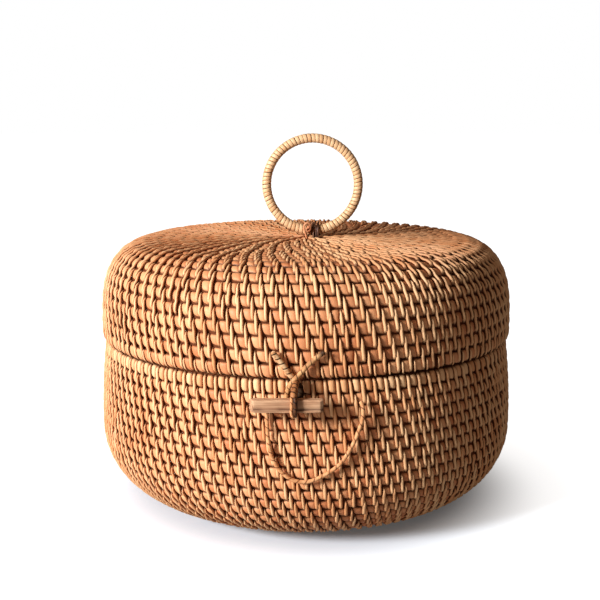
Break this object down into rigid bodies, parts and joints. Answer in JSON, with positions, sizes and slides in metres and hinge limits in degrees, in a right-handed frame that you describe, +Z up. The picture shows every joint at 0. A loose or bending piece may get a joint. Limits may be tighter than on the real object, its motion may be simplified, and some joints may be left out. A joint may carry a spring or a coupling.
{
  "type": "lidded rattan box",
  "caption": "Round coiled rattan box with a hinged lid, an upright ring handle and a toggle and cord loop closure at the front.",
  "frame": {"origin": "centre of the flat underside of the floor, on the surface that the box stands on", "axes": "+Z up through the middle of the lid, -Y to the front with the toggle, +Y to the rear hinges, +X to the right"},
  "size_m": [0.2424, 0.2605, 0.2115],
  "materials": {
    "cane_coil": "lashed cane, low sheen",
    "cane_rim": "lashed cane, low sheen",
    "cane_core": "bare cane",
    "peel_strip": "smooth peel, satin",
    "dark_lashing": "dark peel, satin",
    "cane_cord": "twisted peel cord",
    "peg_wood": "split wood, matte"
  },
  "bodies": {
    "base": {"base_basket": "cane_coil", "base_rim_coil": "cane_rim", "locating_collar": "cane_core", "base_hinge_loop_left": "cane_cord", "base_hinge_loop_right": "cane_cord", "closure_loop_end_left": "cane_cord", "closure_loop_end_right": "cane_cord", "closure_loop_knot_left": "cane_cord", "closure_loop_knot_right": "cane_cord"},
    "lid": {"lid_basket": "cane_coil", "lid_rim_coil": "cane_rim", "handle_lashing": "dark_lashing", "handle_tie_knot": "peel_strip", "lid_hinge_loop_left": "cane_cord", "lid_hinge_loop_right": "cane_cord", "toggle_cord_knot_left": "cane_cord", "toggle_cord_knot_right": "cane_cord"},
    "ring": {"ring_hoop": "cane_core", "ring_binding": "peel_strip"},
    "toggle_cord": {"toggle_cord_left": "cane_cord", "toggle_cord_right": "cane_cord"},
    "toggle": {"toggle_peg": "peg_wood", "toggle_binding": "cane_cord"},
    "loop": {"closure_loop": "cane_cord"}
  },
  "joints": [
    {"name": "lid_hinge", "type": "hinge", "parent": "base", "child": "lid", "pos_m": [0, 0.1235, 0.0955], "axis": [-1, 0, 0], "range_deg": [0, 100]},
    {"name": "ring_fold", "type": "hinge", "parent": "lid", "child": "ring", "pos_m": [0.0038, 0, 0.1554], "axis": [1, 0, 0], "range_deg": [-88, 88]},
    {"name": "toggle_swing", "type": "hinge", "parent": "lid", "child": "toggle_cord", "pos_m": [0, -0.1212, 0.1105], "axis": [-1, 0, 0], "range_deg": [0, 100]},
    {"name": "toggle_turn", "type": "hinge", "parent": "toggle_cord", "child": "toggle", "pos_m": [-0.0068, -0.128, 0.0853], "axis": [0, 1, 0], "range_deg": [-75, 75]},
    {"name": "loop_swing", "type": "hinge", "parent": "base", "child": "loop", "pos_m": [0, -0.1198, 0.0782], "axis": [-1, 0, 0], "range_deg": [0, 95]}
  ]
}
